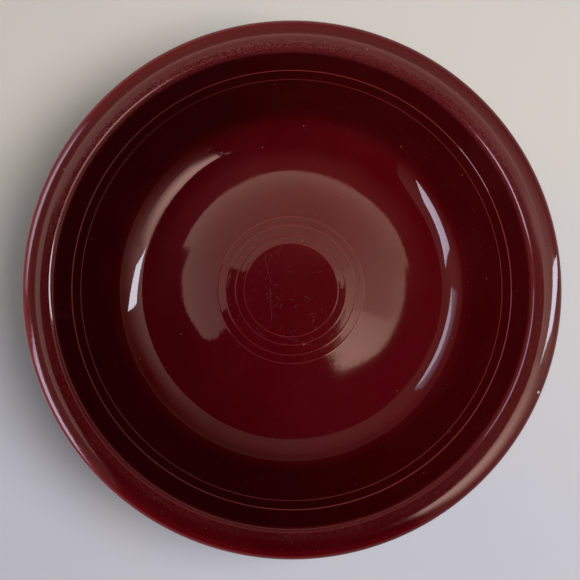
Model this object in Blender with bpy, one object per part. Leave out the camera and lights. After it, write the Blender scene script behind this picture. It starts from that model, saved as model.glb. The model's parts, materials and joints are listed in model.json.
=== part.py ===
"""Glazed ceramic serving bowl, turned about +Z, standing on its foot ring at z = 0.

The glazed surface is one outline in the plane of radius and height. It runs from
the floor's centre up the inside, over the rolled rim, down the outside and round
the foot ring to the centre of the recess below. The fired body is that outline set
in by the glaze, and it stands bare where the foot ring was wiped clean. The glaze
is two closed skins: one over the whole bowl down to the foot ring, and one in the
recess that the ring encloses.
"""

import math

import bmesh
import bpy

# Overall size, in metres
RIM_RADIUS = 0.105
HEIGHT = 0.064
SEGMENTS = 40
CHORD_ERROR = 0.0001

# Layers, in metres
WALL = 0.0058
GLAZE = 0.0004
BODY_GAP = 0.0003
COAT = GLAZE + BODY_GAP
GLAZE_LINE = 0.0014

# Floor: flat in the middle, and rising with a power of the radius to this slope
FLOOR_EDGE_SLOPE = 10.5
FLOOR_POWER = 5.4
FLOOR_STEPS = 5

# Bends from the floor's edge outwards: radius in metres, turn in degrees (left is up)
KNUCKLE = (0.0172, 51.5)
SIDE = (0.158, 15.6)
LIP = (0.00285, -66.78)
FLANGE = (0.150, -1.62)
CROWN = (0.0105, -24.2)
EDGE = (0.0024, -165.0)
RIM_BENDS = (KNUCKLE, SIDE, LIP, FLANGE, CROWN, EDGE)

# Underside of the rim and the foot ring, in metres and degrees
RIM_FILLET = 0.004
HAUNCH = (0.100, -5.5)
FOOT_FILLET = 0.002
FOOT_ROUND = 0.0017
FOOT_DRAFT = 2.0
FOOT_LAND = 0.0034
RECESS_HEIGHT = 0.0044

# Raised rings: radius and height, in metres
RING_WIDTH = 0.0011
FLOOR_RINGS = ((0.0205, 0.00008), (0.0241, 0.00008), (0.0285, 0.00008), (0.0322, 0.0001))
SIDE_RINGS = ((0.0862, 0.0002), (0.0886, 0.00032))

GLAZE_COLOUR = (0.085, 0.004, 0.007, 1.0)
GLAZE_ROUGHNESS = 0.08
BODY_COLOUR = (0.74, 0.67, 0.56, 1.0)
BODY_ROUGHNESS = 0.75


class Pen:
    """Draws an outline as points of radius and height. Headings are in degrees."""

    def __init__(self, start, heading):
        self.points = [start]
        self.heading = heading

    def bend(self, radius, turn):
        """Goes round an arc, to the left where the turn is positive."""
        step_angle = 2 * math.acos(1 - CHORD_ERROR / radius)
        steps = max(1, math.ceil(math.radians(abs(turn)) / step_angle))
        reach = math.copysign(radius, turn)
        here = math.radians(self.heading)
        r, z = self.points[-1]
        centre = (r - reach * math.sin(here), z + reach * math.cos(here))
        for step in range(1, steps + 1):
            angle = here + math.radians(turn) * step / steps
            across, along = reach * math.sin(angle), reach * math.cos(angle)
            self.points.append((centre[0] + across, centre[1] - along))
        self.heading += turn
        return self

    def line_to_height(self, height):
        """Goes straight on to a height."""
        r, z = self.points[-1]
        run = (height - z) / math.tan(math.radians(self.heading))
        self.points.append((r + run, height))
        return self

    def line_to_radius(self, radius):
        """Goes straight on to a radius."""
        r, z = self.points[-1]
        rise = (radius - r) * math.tan(math.radians(self.heading))
        self.points.append((radius, z + rise))
        return self


def rim_path():
    """Points from the floor's edge, up the inside and over the rim to its underside."""
    pen = Pen((0.0, 0.0), FLOOR_EDGE_SLOPE)
    for radius, turn in RIM_BENDS:
        pen.bend(radius, turn)
    right = RIM_RADIUS - max(r for r, z in pen.points)
    up = HEIGHT - max(z for r, z in pen.points)
    return [(r + right, z + up) for r, z in pen.points]


def floor_path(edge):
    """Points from the floor's centre to its edge, where it meets the knuckle's slope."""
    rise = edge[0] * math.tan(math.radians(FLOOR_EDGE_SLOPE)) / FLOOR_POWER
    shares = [step / FLOOR_STEPS for step in range(FLOOR_STEPS)]
    return [(edge[0] * s, edge[1] - rise * (1 - s**FLOOR_POWER)) for s in shares]


def height_at(points, radius):
    """The height of a path at a radius, where the path's radius only grows."""
    for (r0, z0), (r1, z1) in zip(points, points[1:]):
        if r0 <= radius <= r1:
            return z0 + (z1 - z0) * (radius - r0) / (r1 - r0)
    raise ValueError("the path doesn't reach that radius")


def raise_ring(points, radius, height):
    """Replaces the stretch of a path at this radius with a ring's foot, crest and foot."""
    near = RING_WIDTH / 8
    slope = math.atan2(
        height_at(points, radius + near) - height_at(points, radius - near), 2 * near
    )
    half = RING_WIDTH / 2 * math.cos(slope)
    crest = (
        radius - height * math.sin(slope),
        height_at(points, radius) + height * math.cos(slope),
    )
    feet = [(r, height_at(points, r)) for r in (radius - half, radius + half)]
    inside = [p for p in points if p[0] < radius - RING_WIDTH]
    outside = [p for p in points if p[0] > radius + RING_WIDTH]
    return [*inside, feet[0], crest, feet[1], *outside]


def inside_path(rim):
    """The floor and the inside wall with their rings, up to the rim's widest point."""
    points = floor_path(rim[0]) + rim
    widest = max(range(len(points)), key=lambda i: points[i][0])
    growing, rest = points[: widest + 1], points[widest + 1 :]
    for radius, height in FLOOR_RINGS + SIDE_RINGS:
        growing = raise_ring(growing, radius, height)
    return growing + rest


def outside_path(floor_edge, rim_bottom):
    """Points from the rim's underside down the outside wall to the floor's underside."""
    slope = math.radians(FLOOR_EDGE_SLOPE)
    start = (
        floor_edge[0] + WALL * math.sin(slope),
        floor_edge[1] - WALL * math.cos(slope),
    )
    pen = Pen(start, FLOOR_EDGE_SLOPE).bend(KNUCKLE[0] + WALL, KNUCKLE[1])
    # The wall's arc stops where a fillet on it ends level with the rim's underside.
    side_radius = SIDE[0] + WALL
    r, z = pen.points[-1]
    side_centre = z + side_radius * math.cos(math.radians(pen.heading))
    drop = side_centre + RIM_FILLET - rim_bottom[1]
    top = math.degrees(math.acos(drop / (side_radius + RIM_FILLET)))
    pen.bend(side_radius, top - pen.heading).bend(RIM_FILLET, -top)
    return pen.points[::-1]


def foot_path(start):
    """Points from the floor's underside round the foot ring to the recess's centre,
    with the places in them of the two heights where the glaze stops."""
    rounding_top = FOOT_ROUND * (1 + math.sin(math.radians(FOOT_DRAFT))) - COAT
    down, up = 270 + FOOT_DRAFT, 90 - FOOT_DRAFT
    pen = Pen(start, 180 + FLOOR_EDGE_SLOPE).bend(*HAUNCH)
    pen.bend(FOOT_FILLET, down - pen.heading).line_to_height(GLAZE_LINE)
    outer_line = len(pen.points) - 1
    pen.line_to_height(rounding_top).bend(FOOT_ROUND, 180 - down)
    pen.line_to_radius(pen.points[-1][0] - FOOT_LAND).bend(FOOT_ROUND, up - 180)
    pen.line_to_height(GLAZE_LINE)
    inner_line = len(pen.points) - 1
    fillet_rise = FOOT_FILLET * (1 - math.sin(math.radians(FOOT_DRAFT)))
    pen.line_to_height(RECESS_HEIGHT - fillet_rise).bend(FOOT_FILLET, 180 - up)
    pen.line_to_radius(0.0)
    return pen.points[1:], outer_line - 1, inner_line - 1


def glazed_outline():
    """The whole glazed outline, with the indices of the glaze's two edges on it."""
    rim = rim_path()
    outside = outside_path(rim[0], rim[-1])
    foot, outer_line, inner_line = foot_path(outside[-1])
    before = inside_path(rim) + outside
    return before + foot, len(before) + outer_line, len(before) + inner_line


def inset(points, depth):
    """The outline moved into the clay, which is on its right. Its ends stay on the axis."""
    normals = []
    for (r0, z0), (r1, z1) in zip(points, points[1:]):
        length = math.hypot(r1 - r0, z1 - z0)
        normals.append(((z1 - z0) / length, (r0 - r1) / length))
    first, last = points[0], points[-1]
    moved = [(0.0, first[1] + depth * math.copysign(1, normals[0][1]))]
    for point, a, b in zip(points[1:-1], normals, normals[1:]):
        share = depth / (1 + a[0] * b[0] + a[1] * b[1])
        moved.append((point[0] + (a[0] + b[0]) * share, point[1] + (a[1] + b[1]) * share))
    moved.append((0.0, last[1] + depth * math.copysign(1, normals[-1][1])))
    return moved


def material(name, colour, roughness):
    """A Principled material with one colour and roughness."""
    made = bpy.data.materials.new(name)
    made.use_nodes = True
    shader = made.node_tree.nodes["Principled BSDF"]
    shader.inputs["Base Color"].default_value = colour
    shader.inputs["Roughness"].default_value = roughness
    shader.inputs["Metallic"].default_value = 0.0
    return made


def turned(name, points, finish):
    """A closed solid from a path that starts and ends on the axis."""
    shape = bmesh.new()
    verts = [shape.verts.new((r, 0.0, z)) for r, z in points]
    edges = [shape.edges.new(pair) for pair in zip(verts, verts[1:])]
    bmesh.ops.spin(
        shape,
        geom=verts + edges,
        cent=(0.0, 0.0, 0.0),
        axis=(0.0, 0.0, 1.0),
        angle=2 * math.pi,
        steps=SEGMENTS,
        use_merge=True,
    )
    bmesh.ops.remove_doubles(shape, verts=shape.verts, dist=1e-6)
    bmesh.ops.recalc_face_normals(shape, faces=shape.faces)
    mesh = bpy.data.meshes.new(name)
    shape.to_mesh(mesh)
    shape.free()
    mesh.materials.append(finish)
    mesh.shade_smooth()
    mesh.set_sharp_from_angle(angle=math.radians(50))
    made = bpy.data.objects.new(name, mesh)
    bpy.context.scene.collection.objects.link(made)
    return made


def main():
    """Clears the scene and makes the bowl's body and its two skins of glaze."""
    for old in list(bpy.data.objects):
        bpy.data.objects.remove(old)
    glaze = material("glaze", GLAZE_COLOUR, GLAZE_ROUGHNESS)
    clay = material("clay", BODY_COLOUR, BODY_ROUGHNESS)
    outline, outer_line, inner_line = glazed_outline()
    back = inset(outline, GLAZE)
    turned("ceramic_body", inset(outline, COAT), clay)
    turned("glaze_coat", outline[: outer_line + 1] + back[outer_line::-1], glaze)
    turned("foot_recess_glaze", outline[:inner_line - 1:-1] + back[inner_line:], glaze)


main()
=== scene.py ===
"""Glazed ceramic serving bowl: its finished surfaces, their materials and the studio.

The bowl is turned about +Z from the same outline as the CAD model, drawn with finer
steps, rounded rings and a glaze that lies a little unevenly. Its colour holds painted
shade on the steep walls and a band of the flange, and painted light on the floor's far
side and the rim's far right. The studio is a pale table, painted warmer and lighter
towards its far side as painted light, and four soft lights, two for the bowl and two for
the table. Around it are shapes that only the gloss sees: a dim room overhead, the dark
camera, body and arm of whoever leans over the bowl, their beige sleeve and cuff, and
four panes of daylight.
"""

import json
import math
from collections import namedtuple

import bpy
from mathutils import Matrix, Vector, noise

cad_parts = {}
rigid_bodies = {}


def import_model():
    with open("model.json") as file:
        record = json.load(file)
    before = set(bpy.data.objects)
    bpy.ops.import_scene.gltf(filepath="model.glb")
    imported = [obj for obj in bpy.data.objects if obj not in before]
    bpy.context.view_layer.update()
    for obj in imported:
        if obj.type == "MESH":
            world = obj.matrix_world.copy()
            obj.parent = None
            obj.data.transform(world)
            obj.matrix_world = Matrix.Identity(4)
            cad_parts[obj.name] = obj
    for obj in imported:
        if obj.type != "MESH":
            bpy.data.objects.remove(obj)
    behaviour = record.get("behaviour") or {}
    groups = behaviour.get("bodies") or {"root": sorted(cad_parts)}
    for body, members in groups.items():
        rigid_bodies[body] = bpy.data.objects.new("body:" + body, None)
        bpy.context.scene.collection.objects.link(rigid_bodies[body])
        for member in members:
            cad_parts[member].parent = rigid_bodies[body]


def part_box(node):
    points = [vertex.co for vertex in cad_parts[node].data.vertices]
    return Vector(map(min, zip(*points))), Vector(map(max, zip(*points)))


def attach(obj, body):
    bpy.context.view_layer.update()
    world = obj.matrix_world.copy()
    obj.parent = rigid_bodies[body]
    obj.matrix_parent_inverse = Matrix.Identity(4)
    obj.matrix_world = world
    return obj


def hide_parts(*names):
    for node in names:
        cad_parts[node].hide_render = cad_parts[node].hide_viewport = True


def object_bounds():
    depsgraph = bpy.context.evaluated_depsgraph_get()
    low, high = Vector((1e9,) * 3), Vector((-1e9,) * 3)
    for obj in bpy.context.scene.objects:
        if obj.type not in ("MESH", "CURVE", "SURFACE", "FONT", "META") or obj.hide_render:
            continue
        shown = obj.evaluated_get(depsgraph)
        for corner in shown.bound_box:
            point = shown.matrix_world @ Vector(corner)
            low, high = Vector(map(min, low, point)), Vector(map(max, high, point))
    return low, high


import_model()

cad_low, cad_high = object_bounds()

# Overall size, from the CAD model
RIM_RADIUS = cad_high.x
HEIGHT = cad_high.z
GLAZE_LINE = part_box("glaze_coat")[0].z

# Outline, in metres and degrees. The bends run from the floor's edge outwards.
WALL = 0.0058
FLOOR_EDGE_SLOPE = 10.5
FLOOR_POWER = 5.4
KNUCKLE = (0.0172, 51.5)
SIDE = (0.158, 15.6)
LIP = (0.00285, -66.78)
FLANGE = (0.150, -1.62)
CROWN = (0.0105, -24.2)
EDGE = (0.0024, -165.0)
RIM_BENDS = (KNUCKLE, SIDE, LIP, FLANGE, CROWN, EDGE)
RIM_FILLET = 0.004
HAUNCH = (0.100, -5.5)
FOOT_FILLET = 0.002
FOOT_ROUND = 0.0017
FOOT_DRAFT = 2.0
FOOT_LAND = 0.0034
RECESS_HEIGHT = 0.0044

# Raised rings: radius and height, in metres. The floor's are nearly flat, and show by
# the thinner glaze on them.
RING_WIDTH = 0.0011
FLOOR_RINGS = ((0.0205, 0.000003), (0.0241, 0.000003), (0.0285, 0.000003), (0.0322, 0.000004))
SIDE_RINGS = ((0.0862, 0.0002), (0.0886, 0.00032))
CLEAR_OF_RING = 1.2

# Layers, in metres. The foot's rounding allows for the CAD model's glaze and gap.
CAD_COAT = 0.0007
GLAZE = 0.0004
BODY_GAP = 0.00002

# Mesh steps in metres, counts, and the angle in degrees past which an edge is sharp
FINE_CHORD = 0.000002
COARSE_CHORD = 0.00003
LONGEST_STEP = 0.022
RING_STEP = 0.00011
FINE_FLOOR_STEPS = 26
COARSE_FLOOR_STEPS = 8
GLAZE_SEGMENTS = 208
BODY_SEGMENTS = 144
SHARP_ANGLE = 50.0

# Unevenness of the glaze: (noise scale per metre, depth in metres)
SWELLS = ((28.0, 0.00006), (110.0, 0.000008))

# How thin the glaze is: from its usual depth to thinnest over these bends per metre. On
# the floor's rings it thins over a share of their width, and on the side's rings it
# thins by no more than so much per metre of their height.
THINNING_BENDS = (100.0, 800.0)
FLOOR_RING_REACH = RING_WIDTH * 0.35
RING_THINNESS = 0.5
SIDE_RING_THINNESS = 2900.0

# Painted shade: the glaze is painted darker, from its usual colour to its darkest over these
# steepnesses, and on a band of the flange that fades out between two half widths
WALL_SHADING = (0.45, 0.92)
RIM_SHADING = 0.7
RIM_SHADE_RADIUS = 0.0972
RIM_SHADE_HALF_WIDTHS = (0.0052, 0.0036)


def between(value, low, high):
    """A value's share of the way from one number to another, held to 0 to 1."""
    return min(1.0, max(0.0, (value - low) / (high - low)))


# The outline


class Pen:
    """Draws an outline as points of radius and height. Headings are in degrees."""

    def __init__(self, start, heading, chord_error):
        self.points = [start]
        self.heading = heading
        self.chord_error = chord_error

    def bend(self, radius, turn):
        """Goes round an arc, to the left where the turn is positive."""
        step_angle = 2 * math.acos(1 - self.chord_error / radius)
        step_angle = min(step_angle, LONGEST_STEP / radius)
        steps = max(1, math.ceil(math.radians(abs(turn)) / step_angle))
        reach = math.copysign(radius, turn)
        here = math.radians(self.heading)
        r, z = self.points[-1]
        centre = (r - reach * math.sin(here), z + reach * math.cos(here))
        for step in range(1, steps + 1):
            angle = here + math.radians(turn) * step / steps
            across, along = reach * math.sin(angle), reach * math.cos(angle)
            self.points.append((centre[0] + across, centre[1] - along))
        self.heading += turn
        return self

    def line_to_height(self, height):
        """Goes straight on to a height."""
        r, z = self.points[-1]
        run = (height - z) / math.tan(math.radians(self.heading))
        self.points.append((r + run, height))
        return self

    def line_to_radius(self, radius):
        """Goes straight on to a radius."""
        r, z = self.points[-1]
        rise = (radius - r) * math.tan(math.radians(self.heading))
        self.points.append((radius, z + rise))
        return self


def rim_path(chord_error):
    """Points from the floor's edge, up the inside and over the rim to its underside."""
    pen = Pen((0.0, 0.0), FLOOR_EDGE_SLOPE, chord_error)
    for radius, turn in RIM_BENDS:
        pen.bend(radius, turn)
    right = RIM_RADIUS - max(r for r, z in pen.points)
    up = HEIGHT - max(z for r, z in pen.points)
    return [(r + right, z + up) for r, z in pen.points]


def floor_path(edge, steps):
    """Points from the floor's centre to its edge, where it meets the knuckle's slope."""
    rise = edge[0] * math.tan(math.radians(FLOOR_EDGE_SLOPE)) / FLOOR_POWER
    shares = [step / steps for step in range(steps)]
    return [(edge[0] * s, edge[1] - rise * (1 - s**FLOOR_POWER)) for s in shares]


def height_and_slope(points, radius):
    """The height and slope of a path at a radius, where the path's radius only grows."""
    for (r0, z0), (r1, z1) in zip(points, points[1:]):
        if r0 <= radius <= r1:
            share = (radius - r0) / (r1 - r0)
            return z0 + (z1 - z0) * share, math.atan2(z1 - z0, r1 - r0)
    raise ValueError("the path doesn't reach that radius")


def raise_ring(points, radius, height):
    """Replaces the stretch of a path at this radius with a ring of rounded section."""
    half = RING_WIDTH / 2
    slope = height_and_slope(points, radius)[1]
    steps = round(RING_WIDTH / RING_STEP)
    ring = []
    for step in range(steps + 1):
        along = -half + RING_WIDTH * step / steps
        up = height * (0.5 + 0.5 * math.cos(math.pi * along / half))
        at = radius + along * math.cos(slope)
        level = height_and_slope(points, at)[0]
        ring.append((at - up * math.sin(slope), level + up * math.cos(slope)))
    clear = half * CLEAR_OF_RING * math.cos(slope)
    inside = [p for p in points if p[0] < radius - clear]
    outside = [p for p in points if p[0] > radius + clear]
    return [*inside, *ring, *outside]


def inside_path(rim, floor_steps):
    """The floor and the inside wall with their rings, up to the rim's widest point."""
    points = floor_path(rim[0], floor_steps) + rim
    widest = max(range(len(points)), key=lambda i: points[i][0])
    growing, rest = points[: widest + 1], points[widest + 1 :]
    for radius, height in FLOOR_RINGS + SIDE_RINGS:
        growing = raise_ring(growing, radius, height)
    return growing + rest


def outside_path(floor_edge, rim_bottom, chord_error):
    """Points from the rim's underside down the outside wall to the floor's underside."""
    slope = math.radians(FLOOR_EDGE_SLOPE)
    start = (
        floor_edge[0] + WALL * math.sin(slope),
        floor_edge[1] - WALL * math.cos(slope),
    )
    pen = Pen(start, FLOOR_EDGE_SLOPE, chord_error)
    pen.bend(KNUCKLE[0] + WALL, KNUCKLE[1])
    # The wall's arc stops where a fillet on it ends level with the rim's underside.
    side_radius = SIDE[0] + WALL
    side_bottom = pen.points[-1][1]
    side_centre = side_bottom + side_radius * math.cos(math.radians(pen.heading))
    drop = side_centre + RIM_FILLET - rim_bottom[1]
    top = math.degrees(math.acos(drop / (side_radius + RIM_FILLET)))
    pen.bend(side_radius, top - pen.heading).bend(RIM_FILLET, -top)
    return pen.points[::-1]


def foot_path(start, chord_error):
    """Points from the floor's underside round the foot ring to the recess's centre,
    with the places in them of the two heights where the glaze stops."""
    rounding_top = FOOT_ROUND * (1 + math.sin(math.radians(FOOT_DRAFT))) - CAD_COAT
    down, up = 270 + FOOT_DRAFT, 90 - FOOT_DRAFT
    pen = Pen(start, 180 + FLOOR_EDGE_SLOPE, chord_error).bend(*HAUNCH)
    pen.bend(FOOT_FILLET, down - pen.heading).line_to_height(GLAZE_LINE)
    outer_line = len(pen.points) - 1
    pen.line_to_height(rounding_top).bend(FOOT_ROUND, 180 - down)
    pen.line_to_radius(pen.points[-1][0] - FOOT_LAND).bend(FOOT_ROUND, up - 180)
    pen.line_to_height(GLAZE_LINE)
    inner_line = len(pen.points) - 1
    fillet_rise = FOOT_FILLET * (1 - math.sin(math.radians(FOOT_DRAFT)))
    pen.line_to_height(RECESS_HEIGHT - fillet_rise).bend(FOOT_FILLET, 180 - up)
    pen.line_to_radius(0.0)
    return pen.points[1:], outer_line - 1, inner_line - 1


def glazed_outline(chord_error, floor_steps):
    """The whole glazed outline, with the indices of the glaze's two edges on it."""
    rim = rim_path(chord_error)
    outside = outside_path(rim[0], rim[-1], chord_error)
    foot, outer_line, inner_line = foot_path(outside[-1], chord_error)
    before = inside_path(rim, floor_steps) + outside
    return before + foot, len(before) + outer_line, len(before) + inner_line


def inset(points, depth):
    """The outline moved into the clay, which is on its right. Its ends stay on the axis."""
    normals = []
    for (r0, z0), (r1, z1) in zip(points, points[1:]):
        length = math.hypot(r1 - r0, z1 - z0)
        normals.append(((z1 - z0) / length, (r0 - r1) / length))
    first, last = points[0], points[-1]
    moved = [(0.0, first[1] + depth * math.copysign(1, normals[0][1]))]
    for point, a, b in zip(points[1:-1], normals, normals[1:]):
        share = depth / (1 + a[0] * b[0] + a[1] * b[1])
        moved.append((point[0] + (a[0] + b[0]) * share, point[1] + (a[1] + b[1]) * share))
    moved.append((0.0, last[1] + depth * math.copysign(1, normals[-1][1])))
    return moved


# How deep the glaze lies along the outline


def sharpness(points):
    """How tightly the outline bends outwards at each point, per metre of its length."""
    bends = [0.0]
    for (r0, z0), (r1, z1), (r2, z2) in zip(points, points[1:], points[2:]):
        turn = math.atan2(z1 - z0, r1 - r0) - math.atan2(z2 - z1, r2 - r1)
        turn = math.atan2(math.sin(turn), math.cos(turn))
        run = math.hypot(r2 - r0, z2 - z0) / 2
        bends.append(max(0.0, turn / run))
    return [*bends, 0.0]


def steepness(points):
    """How steeply the outline runs at each point: 0 level, 1 upright."""
    steep = [0.0]
    for (r0, z0), (r2, z2) in zip(points, points[2:]):
        steep.append(abs(z2 - z0) / math.hypot(r2 - r0, z2 - z0))
    return [*steep, 0.0]


def cover_and_shade_along(points):
    """How the glaze lies and is shaded at each point of the outline: 0 is its usual depth,
    1 is thin at a tight edge or on a ring, and -1 is painted shade on a steep side. A band
    of the rim has painted shade too."""
    cover_and_shade = []
    for (r, z), bend, steep in zip(points, sharpness(points), steepness(points)):
        thin = between(bend, *THINNING_BENDS)
        for radius, height in FLOOR_RINGS:
            share = between(abs(r - radius), FLOOR_RING_REACH, 0.0)
            thin = max(thin, RING_THINNESS * share)
        for radius, height in SIDE_RINGS:
            if abs(r - radius) < RING_WIDTH:
                thin = min(thin, height * SIDE_RING_THINNESS)
        # Painted shade: the steep walls and a band of the flange are painted darker.
        rim_shade = RIM_SHADING * between(abs(r - RIM_SHADE_RADIUS), *RIM_SHADE_HALF_WIDTHS)
        painted_shade = max(rim_shade, between(steep, *WALL_SHADING))
        cover_and_shade.append(thin - rim_shade if thin > 0.0 else -painted_shade)
    return cover_and_shade


# Turned solids


def swell(point):
    """How far the glaze lies below its fullest at a place, in metres."""
    return sum(depth * (0.5 + 0.5 * noise.noise(point * scale)) for scale, depth in SWELLS)


def ring_faces(rows, spokes):
    """Faces between rows of places, each row a ring that goes all the way round."""
    faces = []
    for row in range(rows - 1):
        for spoke in range(spokes):
            following = (spoke + 1) % spokes
            low, high = row * spokes, (row + 1) * spokes
            faces.append((low + spoke, high + spoke, high + following, low + following))
    return faces


def turned(name, points, segments, covers_and_shades, is_uneven):
    """A closed solid about +Z from a path that starts and ends on the axis."""
    verts, cover_and_shade = [], []
    for (r, z), share in zip(points[1:-1], covers_and_shades[1:-1]):
        for step in range(segments):
            angle = math.tau * step / segments
            verts.append(Vector((r * math.cos(angle), r * math.sin(angle), z)))
            cover_and_shade.append(share)
    rows = len(points) - 2
    faces = ring_faces(rows, segments)
    for pole, row, turn in ((points[0], 0, 1), (points[-1], rows - 1, -1)):
        verts.append(Vector((0.0, 0.0, pole[1])))
        cover_and_shade.append(covers_and_shades[0])
        for step in range(segments):
            pair = (row * segments + step, row * segments + (step + 1) % segments)
            faces.append((len(verts) - 1, *pair[::turn]))
    mesh = bpy.data.meshes.new(name)
    mesh.from_pydata(verts, [], faces)
    mesh.update()
    if is_uneven:
        normals = [vertex.normal.copy() for vertex in mesh.vertices]
        for vertex, normal in zip(mesh.vertices, normals):
            vertex.co -= normal * swell(vertex.co)
    layer = mesh.attributes.new("glaze_cover_and_shade", "FLOAT", "POINT")
    layer.data.foreach_set("value", cover_and_shade)
    mesh.shade_smooth()
    mesh.set_sharp_from_angle(angle=math.radians(SHARP_ANGLE))
    mesh.update()
    made = bpy.data.objects.new(name, mesh)
    bpy.context.scene.collection.objects.link(made)
    return made


# Materials

Spot = namedtuple("Spot", "place x y z radius")


class Graph:
    """A material's node tree, with short ways to add nodes."""

    def __init__(self, name):
        self.material = bpy.data.materials.new(name)
        self.material.use_nodes = True
        self.tree = self.material.node_tree
        self.shader = self.tree.nodes["Principled BSDF"]

    def add(self, kind, inputs=None, **settings):
        """Adds a node. An input is a value, or the socket that it comes from."""
        node = self.tree.nodes.new("ShaderNode" + kind)
        for key, value in settings.items():
            setattr(node, key, value)
        self.fill(node, inputs or {})
        return node

    def fill(self, node, inputs):
        """Sets a node's inputs by name or number."""
        for key, value in inputs.items():
            if isinstance(value, bpy.types.NodeSocket):
                self.tree.links.new(value, node.inputs[key])
            else:
                node.inputs[key].default_value = value

    def maths(self, operation, *values):
        """The result of a Math node."""
        node = self.add("Math", dict(enumerate(values)), operation=operation)
        return node.outputs[0]

    def times(self, first, *others):
        """Several values multiplied together."""
        for other in others:
            first = self.maths("MULTIPLY", first, other)
        return first

    def plus(self, first, second):
        """Two values added together."""
        return self.maths("ADD", first, second)

    def vector(self, operation, *values):
        """The first result of a Vector Math node."""
        node = self.add("VectorMath", dict(enumerate(values)), operation=operation)
        return node.outputs["Value" if operation in ("LENGTH", "DISTANCE") else "Vector"]

    def ramp(self, value, low, high, to_low=0.0, to_high=1.0):
        """A value eased from one range to another."""
        settings = {"Value": value, 1: low, 2: high, 3: to_low, 4: to_high}
        node = self.add("MapRange", settings, interpolation_type="SMOOTHSTEP")
        return node.outputs["Result"]

    def noise(self, place, scale, detail, roughness=0.5):
        """A noise texture's value."""
        settings = {"Vector": place, "Scale": scale, "Detail": detail, "Roughness": roughness}
        return self.add("TexNoise", settings).outputs["Fac"]

    def mix(self, share, first, second):
        """A mix of two colours."""
        settings = {"Factor": share, 6: first, 7: second}
        return self.add("Mix", settings, data_type="RGBA").outputs[2]

    def bump(self, strength, distance, height):
        """A surface normal that follows small differences in height."""
        settings = {"Strength": strength, "Distance": distance, "Height": height}
        return self.add("Bump", settings).outputs[0]

    def spot(self):
        """Where on the piece the surface is, in metres: the place, its three parts, and
        its distance from the axis."""
        place = self.add("TexCoord").outputs["Object"]
        x, y, z = self.add("SeparateXYZ", {0: place}).outputs
        level = self.add("CombineXYZ", {0: x, 1: y}).outputs[0]
        return Spot(place, x, y, z, self.vector("LENGTH", level))


def scratches(graph, place, cell, length, width, keep):
    """A share of 1 on short straight strokes, one in each cell of a flat pattern. Only a
    share of the strokes is kept."""
    cells = {"Vector": place, "Scale": 1 / cell, "Randomness": 1.0}
    voronoi = graph.add("TexVoronoi", cells, voronoi_dimensions="2D")
    flat = graph.vector("MULTIPLY", place, (1.0, 1.0, 0.0))
    from_middle = graph.vector("SUBTRACT", flat, voronoi.outputs["Position"])
    chance = graph.add("SeparateColor", {0: voronoi.outputs["Color"]})
    turn = graph.times(chance.outputs[0], math.pi)
    settings = {"Vector": from_middle, "Angle": turn}
    stroke = graph.add("VectorRotate", settings, rotation_type="Z_AXIS")
    parts = graph.add("SeparateXYZ", {0: stroke.outputs[0]})
    along = graph.maths("ABSOLUTE", parts.outputs[0])
    across = graph.maths("ABSOLUTE", parts.outputs[1])
    reach = graph.times(chance.outputs[1], length / 2)
    within = graph.ramp(graph.maths("SUBTRACT", reach, along), 0.0, length * 0.1)
    line = graph.ramp(across, width / 2, 0.0)
    kept = graph.maths("LESS_THAN", chance.outputs[2], keep)
    return graph.times(within, line, kept)


def dots(graph, place, dimensions, scale, rarity, size, edge):
    """A share of 1 on round dots of many sizes. A cell of the pattern whose chance is
    below the rarity has none. Size and soft edge are shares of a cell."""
    cells = {"Vector": place, "Scale": scale, "Randomness": 1.0}
    voronoi = graph.add("TexVoronoi", cells, voronoi_dimensions=dimensions)
    chance = graph.add("SeparateColor", {0: voronoi.outputs["Color"]}).outputs[0]
    reach = graph.ramp(chance, rarity, 1.0, 0.0, size)
    return graph.ramp(graph.maths("SUBTRACT", reach, voronoi.outputs["Distance"]), 0.0, edge)


USUAL_GLAZE = (0.072, 0.0008, 0.0028, 1.0)
# Painted shade: the colour of the steep walls and of a band of the flange.
SHADED_GLAZE = (0.038, 0.0002, 0.0006, 1.0)
# Paler glaze: thin glaze at edges and rings, and painted light on the floor's far side and the
# rim's far right.
THIN_AND_LIT_GLAZE = (0.26, 0.040, 0.042, 1.0)
SCRATCH = (0.34, 0.11, 0.11, 1.0)
CHIP = (0.70, 0.52, 0.42, 1.0)
PINHOLE = (0.30, 0.12, 0.10, 1.0)

# The radii over which a part of the bowl begins, in metres: the floor's scratched
# middle, the whole floor, the flange, the speckled rim and the rim's outer edge
SCRATCHED_FLOOR = (0.046, 0.010)
WHOLE_FLOOR = (0.064, 0.054)
WHOLE_FLANGE = (0.0925, 0.0950)
SPECKLED_RIM = (0.0925, 0.0945)
OUTER_EDGE = (0.0990, 0.1005)

# The rubbed band on the rim: the radii over which it begins and ends, and the heights
# over which it begins
RUBBED_FROM = (0.0908, 0.0930)
RUBBED_TO = (0.0980, 0.0962)
RUBBED_HEIGHTS = (0.0595, 0.0615)

# The chip: where its middle is, how ragged it is, and the radii of its soft edge
CHIP_PLACE = (0.0955, -0.0396, 0.0635)
CHIP_RAGGEDNESS = 0.0008
CHIP_EDGE = (0.0011, 0.0009)

# Scratches: cell size, length and width in metres, and the share that is kept
SHORT_SCRATCHES = (0.0032, 0.0032, 0.00020, 0.35)
LONG_SCRATCHES = (0.017, 0.028, 0.00016, 0.5)

# Dots: dimensions, scale per metre, rarity, size and soft edge
SPECKS = ("2D", 300.0, 0.45, 0.07, 0.03)
PINHOLES = ("3D", 170.0, 0.55, 0.065, 0.012)


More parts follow.
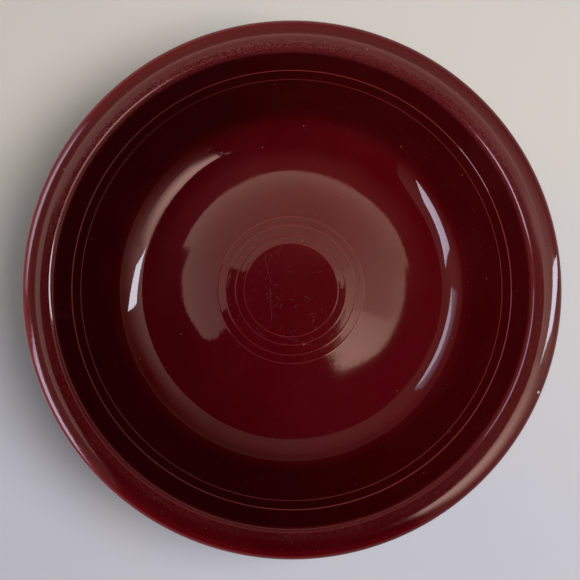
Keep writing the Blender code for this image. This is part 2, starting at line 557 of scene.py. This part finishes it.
def unworn_colour(graph, spot):
    """The glaze's colour: paler where it is thin, darker with painted shade on the steep walls
    and a band of the rim, and cloudy.
    """
    cover_and_shade = graph.add("Attribute", attribute_name="glaze_cover_and_shade").outputs["Fac"]
    # Painted shade: darker on the steep walls and on a band of the flange.
    painted_shade = graph.ramp(cover_and_shade, 0.0, -1.0)
    thin = graph.times(graph.ramp(cover_and_shade, 0.0, 1.0), 0.8)
    cloudy = graph.ramp(graph.noise(spot.place, 45.0, 3.0), 0.3, 0.7, 0.0, 0.03)
    grainy = graph.ramp(graph.noise(spot.place, 1400.0, 1.0), 0.35, 0.75, 0.0, 0.02)
    shallow = graph.plus(thin, graph.plus(cloudy, grainy))
    return graph.mix(shallow, graph.mix(painted_shade, USUAL_GLAZE, SHADED_GLAZE), THIN_AND_LIT_GLAZE)


def painted_light_sides(graph, spot, colour):
    """Painted light: makes the floor paler on its far side, and the rim paler at its far
    right, as if more light fell there.
    """
    # Painted light on the floor's far side.
    painted_light_far_side = graph.ramp(spot.y, -0.020, 0.050, 0.0, 0.14)
    on_floor = graph.ramp(spot.radius, *WHOLE_FLOOR)
    colour = graph.mix(graph.times(painted_light_far_side, on_floor), colour, THIN_AND_LIT_GLAZE)
    # Painted light on the rim's far right.
    painted_light_far_right = graph.ramp(graph.plus(spot.x, spot.y), -0.06, 0.09, 0.0, 0.15)
    on_flange = graph.ramp(spot.radius, *WHOLE_FLANGE)
    return graph.mix(graph.times(painted_light_far_right, on_flange), colour, THIN_AND_LIT_GLAZE)


def scratched(graph, spot, colour, rough):
    """Scratches the middle of the floor."""
    short = scratches(graph, spot.place, *SHORT_SCRATCHES)
    long = scratches(graph, spot.place, *LONG_SCRATCHES)
    in_middle = graph.ramp(spot.radius, *SCRATCHED_FLOOR)
    marks = graph.times(graph.maths("MAXIMUM", short, long), in_middle)
    colour = graph.mix(graph.times(marks, 0.45), colour, SCRATCH)
    return colour, graph.plus(rough, graph.times(marks, 0.12))


def rubbed(graph, spot, colour, rough):
    """Rubs a band on top of the rim, turns the flange satin and dulls the left edge."""
    patchy = graph.ramp(graph.noise(spot.place, 2000.0, 3.0, 0.7), 0.44, 0.66)
    begun = graph.ramp(spot.radius, *RUBBED_FROM)
    ended = graph.ramp(spot.radius, *RUBBED_TO)
    on_top = graph.ramp(spot.z, *RUBBED_HEIGHTS)
    uneven = graph.ramp(spot.y, 0.0, 0.075, 0.35, 1.0)
    scuffs = graph.times(begun, ended, on_top, patchy, uneven)
    colour = graph.mix(graph.times(scuffs, 0.22), colour, SCRATCH)
    rough = graph.plus(rough, graph.times(scuffs, 0.16))
    satin = graph.ramp(graph.noise(spot.place, 1800.0, 3.0, 0.7), 0.40, 0.65, 0.0, 0.05)
    rough = graph.plus(rough, graph.times(satin, graph.ramp(spot.radius, *WHOLE_FLANGE)))
    on_edge = graph.ramp(spot.radius, *OUTER_EDGE)
    on_left = graph.ramp(spot.x, 0.03, -0.07)
    dulled = graph.times(on_edge, on_left, patchy)
    return colour, graph.plus(rough, graph.times(dulled, 0.16))


def speckled(graph, spot, colour):
    """Specks the glaze with pale dots, faintly except on the rim."""
    strength = graph.ramp(spot.radius, *SPECKLED_RIM, 0.25, 1.0)
    specks = graph.times(dots(graph, spot.place, *SPECKS), strength)
    return graph.mix(graph.times(specks, 0.45), colour, SCRATCH)


def chipped(graph, spot, colour, rough):
    """Chips the rim in one place, down to pale rough clay."""
    ragged = graph.times(graph.noise(spot.place, 1500.0, 1.0), CHIP_RAGGEDNESS)
    from_chip = graph.vector("DISTANCE", spot.place, CHIP_PLACE)
    nick = graph.ramp(graph.plus(from_chip, ragged), *CHIP_EDGE)
    return graph.mix(nick, colour, CHIP), graph.maths("MAXIMUM", rough, graph.times(nick, 0.8))


def glaze_material(name, has_wear_and_light):
    """Deep maroon glass over clay with pinholes in it, painted darker as painted shade where
    the outline says, and with wear and painted light where it is used.
    """
    graph = Graph(name)
    spot = graph.spot()
    colour = unworn_colour(graph, spot)
    rough = graph.ramp(graph.noise(spot.place, 26.0, 2.0), 0.35, 0.7, 0.02, 0.045)
    height = graph.times(graph.noise(spot.place, 520.0, 1.0), 0.12)
    if has_wear_and_light:
        # Painted light: the floor's far side and the rim's far right are made paler.
        colour = painted_light_sides(graph, spot, colour)
        colour, rough = scratched(graph, spot, colour, rough)
        colour, rough = rubbed(graph, spot, colour, rough)
        colour = speckled(graph, spot, colour)
        colour, rough = chipped(graph, spot, colour, rough)
    holes = dots(graph, spot.place, *PINHOLES)
    colour = graph.mix(graph.times(holes, 0.6), colour, PINHOLE)
    normal = graph.bump(0.25, 0.00006, graph.maths("SUBTRACT", height, holes))
    look = {"Base Color": colour, "Roughness": rough, "IOR": 1.52, "Normal": normal}
    graph.fill(graph.shader, look)
    return graph.material


CLAY = (0.70, 0.62, 0.50, 1.0)
CLAY_GRIT = (0.42, 0.33, 0.24, 1.0)
CLAY_STAIN = (0.30, 0.24, 0.19, 1.0)
STAINED_HEIGHTS = (0.0009, 0.0)


def clay_material():
    """Bare fired clay: cream, gritty, turned in faint lines and soiled where it stands."""
    graph = Graph("bare_clay")
    spot = graph.spot()
    ringed = graph.add("CombineXYZ", {0: spot.radius}).outputs[0]
    lines = graph.noise(ringed, 2600.0, 2.0)
    grit = graph.noise(spot.place, 1900.0, 2.0)
    stain = graph.ramp(graph.noise(spot.place, 140.0, 4.0), 0.45, 0.7)
    soiled = graph.ramp(spot.z, *STAINED_HEIGHTS)
    colour = graph.mix(graph.ramp(grit, 0.55, 0.75), CLAY, CLAY_GRIT)
    colour = graph.mix(graph.times(stain, soiled), colour, CLAY_STAIN)
    rough = graph.ramp(grit, 0.3, 0.7, 0.68, 0.88)
    normal = graph.bump(0.5, 0.00008, graph.plus(graph.times(lines, 0.7), grit))
    graph.fill(graph.shader, {"Base Color": colour, "Roughness": rough, "Normal": normal})
    return graph.material


# The bowl


def make_bowl():
    """Makes the glaze over the bowl, the fired body and the glaze in the recess."""
    outline, outer_line = glazed_outline(FINE_CHORD, FINE_FLOOR_STEPS)[:2]
    coarse, coarse_outer, coarse_inner = glazed_outline(COARSE_CHORD, COARSE_FLOOR_STEPS)
    back = inset(coarse, GLAZE)
    body = inset(coarse, GLAZE + BODY_GAP)

    path = outline[: outer_line + 1] + back[coarse_outer::-1]
    cover_and_shade = cover_and_shade_along(outline[: outer_line + 1])
    cover_and_shade += [0.0] * (len(path) - len(cover_and_shade))
    bowl = turned("bowl_glaze", path, GLAZE_SEGMENTS, cover_and_shade, True)
    bowl.data.materials.append(glaze_material("maroon_glaze", True))
    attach(bowl, "root")
    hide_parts("glaze_coat")

    lifted = [(r, max(0.0, z)) for r, z in body]
    clay = turned("fired_clay_body", lifted, BODY_SEGMENTS, [0.0] * len(lifted), False)
    clay.data.materials.append(clay_material())
    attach(clay, "root")
    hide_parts("ceramic_body")

    path = coarse[: coarse_inner - 1 : -1] + back[coarse_inner:]
    recess = turned("recess_glaze", path, BODY_SEGMENTS, [0.0] * len(path), True)
    recess.data.materials.append(glaze_material("recess_maroon_glaze", False))
    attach(recess, "root")
    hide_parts("foot_recess_glaze")


# The studio

CAMERA_PLACE = Vector((-0.004, 0.0, 0.484))
CAMERA_LENS = 67.35
CAMERA_SHIFT = (0.0143, 0.0)

# How brightly the room overhead glows, by azimuth in degrees from +X towards +Y: at
# each of these tilts off the vertical
ROOM_TILTS = (0, 2.6, 4.6, 12, 25, 45, 60, 72, 85)
ROOM = (
    (-60, (1.3, 0.84, 0.36, 0.42, 0.42, 0.08, 0.00, 0.0, 0.1)),
    (-12, (1.3, 1.20, 1.05, 1.25, 1.20, 0.55, 0.25, 0.2, 0.9)),
    (10, (1.3, 1.05, 0.85, 0.80, 0.60, 0.22, 0.10, 0.15, 0.9)),
    (30, (1.3, 0.90, 0.62, 0.52, 0.34, 0.04, 0.00, 0.1, 0.8)),
    (60, (1.3, 0.68, 0.36, 0.24, 0.23, 0.15, 0.08, 0.12, 0.7)),
    (120, (1.3, 0.68, 0.32, 0.24, 0.25, 0.18, 0.10, 0.12, 0.7)),
    (150, (1.3, 0.68, 0.32, 0.23, 0.20, 0.18, 0.10, 0.1, 0.4)),
    (180, (1.3, 0.88, 0.33, 0.17, 0.20, 0.30, 0.22, 0.1, 0.3)),
    (215, (1.3, 0.84, 0.33, 0.26, 0.26, 0.24, 0.12, 0.0, 0.3)),
    (240, (1.3, 0.84, 0.34, 0.30, 0.28, 0.05, 0.00, 0.0, 0.1)),
)
ROOM_RADIUS = 3.0
ROOM_ROWS = 96
ROOM_SPOKES = 240
ROOM_TOP_TILT = 0.02

# The plain room behind the reflected shapes, as the camera sees it and as the rest does
SEEN_ROOM = (0.62, 0.60, 0.58, 1.0)
FELT_ROOM = (0.03, 0.027, 0.025, 1.0)

# How bright the reflected shapes still are by way of two surfaces
SECOND_REFLECTION = 0.015

# The dark body beside the camera, and the dark arm that reaches round a little higher:
# the corners of their outlines, as azimuth in degrees and distance from the axis
BODY = (
    (157, 0.0488),
    (179, 0.0488),
    (-171, 0.0490),
    (-160, 0.0525),
    (-150, 0.0545),
    (-144, 0.0580),
    (-129, 0.95),
    (-61, 0.95),
)
ARM = (
    (-61, 0.95),
    (-58, 0.0668),
    (-50, 0.0642),
    (-40, 0.0615),
    (-30, 0.0562),
    (-20, 0.0542),
    (-10, 0.0520),
    (0, 0.0512),
    (10, 0.0480),
)
ARM_HEIGHT = 0.070
SLEEVE_HEIGHT = ARM_HEIGHT + 0.002

# The dark disc of the camera itself
DISC_MIDDLE = Vector((0.0015, -0.002, 0.0))
DISC_RADIUS = 0.0418
DISC_SPOKES = 96

# A bright beige sleeve round the arm, and its cuff: by azimuth, the glow at each radius
SLEEVE_RADII = (0.042, 0.080, 0.14, 0.22, 0.30, 0.42)
SLEEVE = (
    (-62, (2.3, 2.5, 1.6, 0.0, 0.0, 0.0)),
    (-58, (2.3, 3.1, 3.3, 1.0, 0.2, 0.0)),
    (-50, (2.3, 3.3, 3.8, 3.2, 1.8, 0.5)),
    (-40, (2.1, 3.1, 3.6, 3.1, 2.0, 0.8)),
    (-30, (2.0, 2.6, 3.0, 2.4, 1.5, 0.7)),
    (-16, (1.7, 1.9, 1.6, 0.9, 0.6, 0.4)),
)
CUFF_RADII = (0.042, 0.062)
CUFF = (
    (-16, (1.7, 1.5)),
    (0, (1.4, 1.25)),
    (20, (1.1, 0.9)),
)

# Panes of daylight: corners as (azimuth, tilt off the vertical, glow) with the angles in
# degrees, and then name, colour, distance from the bowl and corners
PALE = (0.90, 0.86, 1.0)
COOL = (0.88, 0.80, 1.0)
RIGHT_PANE = ((-18, 12, 14.5), (5, 24, 14.5), (7.5, 52, 14.5), (-9, 29, 14.5))
LEFT_PANE = (
    (181, 39, 6.5),
    (168, 33, 6.5),
    (150, 31, 6.5),
    (141, 33, 6.5),
    (145, 37, 6.5),
    (157, 42, 6.5),
    (170, 43, 6.5),
)
LEFT_PANE_FOOT = ((181, 39, 3.0), (141, 36, 2.4), (143, 54, 0.4), (179, 58, 0.7))
LOWER_LEFT_PANE = (
    (214, 36, 9.5),
    (200, 32, 9.0),
    (188, 26, 8.0),
    (195, 50, 7.0),
    (222, 58, 8.5),
)
PANES = (
    ("right_window", PALE, 2.4, RIGHT_PANE),
    ("left_window", COOL, 2.3, LEFT_PANE),
    ("left_window_foot", COOL, 2.5, LEFT_PANE_FOOT),
    ("lower_left_window", COOL, 2.4, LOWER_LEFT_PANE),
)

# Soft lights for the bowl and for the table: name, place, size, power and colour
WARM = (1.0, 0.97, 0.95)
WHITE = (1.0, 0.98, 0.97)
BOWL_LIGHTS = (
    ("overhead_light", (0.0, 0.0, 1.3), 0.5, 9.0, WARM),
    ("left_light", (-0.932, -0.164, 0.739), 0.5, 8.5, WHITE),
)
TABLE_LIGHTS = (
    ("table_light", (0.0, 0.0, 1.3), 0.5, 7.4, WARM),
    ("right_light", (0.498, 0.0, 1.092), 0.55, 19.6, WARM),
)
LIGHT_AIM = Vector((0.0, 0.0, 0.03))

# The table's colour near and far: the far side is painted warmer and lighter, as painted
# light.
TABLE_NEAR = (0.33, 0.335, 0.378, 1.0)
TABLE_FAR = (0.385, 0.37, 0.345, 1.0)
TABLE_REACH = 1.1
TABLE_DROP = 0.0002


def glowing(name):
    """Light from a mesh's glow attribute, dimmer when it's seen by way of two surfaces."""
    material = bpy.data.materials.new(name)
    material.use_nodes = True
    tree = material.node_tree
    tree.nodes.clear()
    glow = tree.nodes.new("ShaderNodeAttribute")
    glow.attribute_name = "glow"
    path = tree.nodes.new("ShaderNodeLightPath")
    fade = tree.nodes.new("ShaderNodeMapRange")
    fade.inputs["From Min"].default_value = 1.0
    fade.inputs["From Max"].default_value = 2.0
    fade.inputs["To Min"].default_value = 1.0
    fade.inputs["To Max"].default_value = SECOND_REFLECTION
    emit = tree.nodes.new("ShaderNodeEmission")
    out = tree.nodes.new("ShaderNodeOutputMaterial")
    tree.links.new(path.outputs["Ray Depth"], fade.inputs["Value"])
    tree.links.new(glow.outputs["Color"], emit.inputs["Color"])
    tree.links.new(fade.outputs["Result"], emit.inputs["Strength"])
    tree.links.new(emit.outputs[0], out.inputs["Surface"])
    material.cycles.emission_sampling = "NONE"
    return material


def card(name, verts, faces, glows):
    """A glowing or black mesh that only reflections see."""
    mesh = bpy.data.meshes.new(name)
    mesh.from_pydata(verts, [], faces)
    layer = mesh.attributes.new("glow", "FLOAT_COLOR", "POINT")
    layer.data.foreach_set("color", [part for glow in glows for part in (*glow, 1.0)])
    mesh.materials.append(glowing(name))
    made = bpy.data.objects.new(name, mesh)
    bpy.context.scene.collection.objects.link(made)
    made.visible_camera = False
    made.visible_diffuse = False
    made.visible_shadow = False
    made.visible_transmission = False
    made.visible_volume_scatter = False


def direction(azimuth, tilt):
    """The unit vector at an azimuth and a tilt off the vertical, in degrees."""
    turn, lean = math.radians(azimuth), math.radians(tilt)
    across = math.sin(lean)
    return Vector((across * math.cos(turn), across * math.sin(turn), math.cos(lean)))


def beside_camera(azimuth, radius, above=0.0):
    """A place level with the camera or above it, at an azimuth in degrees and a distance
    from the axis."""
    turn = math.radians(azimuth)
    height = CAMERA_PLACE.z + above
    return Vector((radius * math.cos(turn), radius * math.sin(turn), height))


def along(steps, levels, at):
    """The level at a place among rising steps, in a straight line between them."""
    level = levels[0]
    for low, high, next_level in zip(steps, steps[1:], levels[1:]):
        level += (next_level - level) * between(at, low, high)
    return level


def around(table, azimuth):
    """The table's two rows on either side of an azimuth, and the share of the second."""
    angle = (azimuth - table[0][0]) % 360.0 + table[0][0]
    rows = [*table, (table[0][0] + 360.0, *table[0][1:])]
    for row, following in zip(rows, rows[1:]):
        if angle <= following[0]:
            return row, following, between(angle, row[0], following[0])
    raise ValueError("the table doesn't go all the way round")


def beige(level):
    """The room's colour at a level of brightness."""
    return Vector((1.59 * level + 0.06, level, 0.84 * level))


def room():
    """The room overhead: a dome, brightest straight up, on one side and by the table."""
    verts, glows = [], []
    for row in range(ROOM_ROWS):
        for spoke in range(ROOM_SPOKES):
            azimuth, tilt = 360.0 * spoke / ROOM_SPOKES, ROOM_TOP_TILT + row
            here, there, share = around(ROOM, azimuth)
            level = along(ROOM_TILTS, here[1], tilt) * (1 - share)
            level += along(ROOM_TILTS, there[1], tilt) * share
            verts.append(direction(azimuth, tilt) * ROOM_RADIUS)
            glows.append(beige(level))
    card("room_dome", verts, ring_faces(ROOM_ROWS, ROOM_SPOKES), glows)


def sector(name, radii, rows):
    """Part of a ring just above the arm, which glows as its rows say."""
    verts, glows, faces = [], [], []
    columns = len(radii)
    for azimuth, levels in rows:
        for radius, level in zip(radii, levels):
            verts.append(beside_camera(azimuth, radius, SLEEVE_HEIGHT))
            glows.append(beige(level))
    for row in range(len(rows) - 1):
        for column in range(columns - 1):
            here = row * columns + column
            faces.append((here, here + 1, here + columns + 1, here + columns))
    card(name, verts, faces, glows)


def pane(name, colour, distance, corners):
    """A window: a flat pane whose corners lie in the given directions."""
    verts = [direction(azimuth, tilt) * distance for azimuth, tilt, glow in corners]
    glows = [Vector(colour) * glow for azimuth, tilt, glow in corners]
    card(name, verts, [tuple(range(len(verts)))], glows)


def shade(name, corners):
    """A black card with one face."""
    card(name, corners, [tuple(range(len(corners)))], [(0.0, 0.0, 0.0)] * len(corners))


def photographer():
    """The dark camera, and the dark body and arm of whoever leans over the bowl."""
    turns = [360.0 * spoke / DISC_SPOKES for spoke in range(DISC_SPOKES)]
    shade("camera_shade", [DISC_MIDDLE + beside_camera(turn, DISC_RADIUS) for turn in turns])
    for name, above, outline in (("body_shade", 0.0, BODY), ("arm_shade", ARM_HEIGHT, ARM)):
        corners = [beside_camera(azimuth, radius, above) for azimuth, radius in outline]
        shade(name, [*corners, beside_camera(0.0, 0.0, above)])


def area_light(name, place, size, power, colour, lit):
    """A square soft light aimed at the bowl. It lights only the objects it is given, and
    its own image stays out of reflections."""
    data = bpy.data.lights.new(name, "AREA")
    data.size = size
    data.energy = power
    data.color = colour
    made = bpy.data.objects.new(name, data)
    made.location = place
    aim = LIGHT_AIM - Vector(place)
    made.rotation_euler = aim.to_track_quat("-Z", "Y").to_euler()
    made.visible_glossy = False
    made.visible_camera = False
    bpy.context.scene.collection.objects.link(made)
    receivers = bpy.data.collections.new(name + "_receivers")
    for piece in lit:
        receivers.objects.link(piece)
    made.light_linking.receiver_collection = receivers


def table():
    """The pale surface that the bowl stands on, painted a little cooler and darker towards its
    near side and warmer towards its far side, as painted light.
    """
    graph = Graph("pale_table")
    spot = graph.spot()
    # Painted light: warmer and lighter towards the far side.
    painted_light_farther = graph.ramp(spot.y, -0.12, 0.12)
    cloud = graph.ramp(graph.noise(spot.place, 9.0, 2.0), 0.35, 0.65, -0.15, 0.15)
    colour = graph.mix(graph.plus(painted_light_farther, cloud), TABLE_NEAR, TABLE_FAR)
    graph.fill(graph.shader, {"Base Color": colour, "Roughness": 0.8})
    mesh = bpy.data.meshes.new("table_top")
    sides = ((-1, -1), (1, -1), (1, 1), (-1, 1))
    corners = [(x * TABLE_REACH, y * TABLE_REACH, 0.0) for x, y in sides]
    mesh.from_pydata(corners, [], [(0, 1, 2, 3)])
    mesh.materials.append(graph.material)
    made = bpy.data.objects.new("table_top", mesh)
    made.location.z = -TABLE_DROP
    bpy.context.scene.collection.objects.link(made)
    return made


def surroundings():
    """A room that is pale to the camera, and dim for everything else."""
    world = bpy.data.worlds.new("room")
    bpy.context.scene.world = world
    world.use_nodes = True
    tree = world.node_tree
    tree.nodes.clear()
    seen = tree.nodes.new("ShaderNodeBackground")
    seen.inputs["Color"].default_value = SEEN_ROOM
    felt = tree.nodes.new("ShaderNodeBackground")
    felt.inputs["Color"].default_value = FELT_ROOM
    path = tree.nodes.new("ShaderNodeLightPath")
    choice = tree.nodes.new("ShaderNodeMixShader")
    out = tree.nodes.new("ShaderNodeOutputWorld")
    tree.links.new(path.outputs["Is Camera Ray"], choice.inputs["Fac"])
    tree.links.new(felt.outputs[0], choice.inputs[1])
    tree.links.new(seen.outputs[0], choice.inputs[2])
    tree.links.new(choice.outputs[0], out.inputs["Surface"])
    world.cycles.sampling_method = "NONE"


def camera():
    """The camera, straight above the bowl and a little to its left."""
    data = bpy.data.cameras.new("camera")
    data.lens = CAMERA_LENS
    data.shift_x, data.shift_y = CAMERA_SHIFT
    made = bpy.data.objects.new("camera", data)
    made.location = CAMERA_PLACE
    bpy.context.scene.collection.objects.link(made)
    bpy.context.scene.camera = made


def studio():
    """The table, the lights, the reflected room and the camera."""
    scene = bpy.context.scene
    scene.view_settings.view_transform = "Standard"
    bowl = list(scene.objects)
    surroundings()
    top = table()
    room()
    sector("beige_sleeve", SLEEVE_RADII, SLEEVE)
    sector("beige_cuff", CUFF_RADII, CUFF)
    photographer()
    for window in PANES:
        pane(*window)
    for light in BOWL_LIGHTS:
        area_light(*light, bowl)
    for light in TABLE_LIGHTS:
        area_light(*light, [top])
    camera()


make_bowl()
studio()
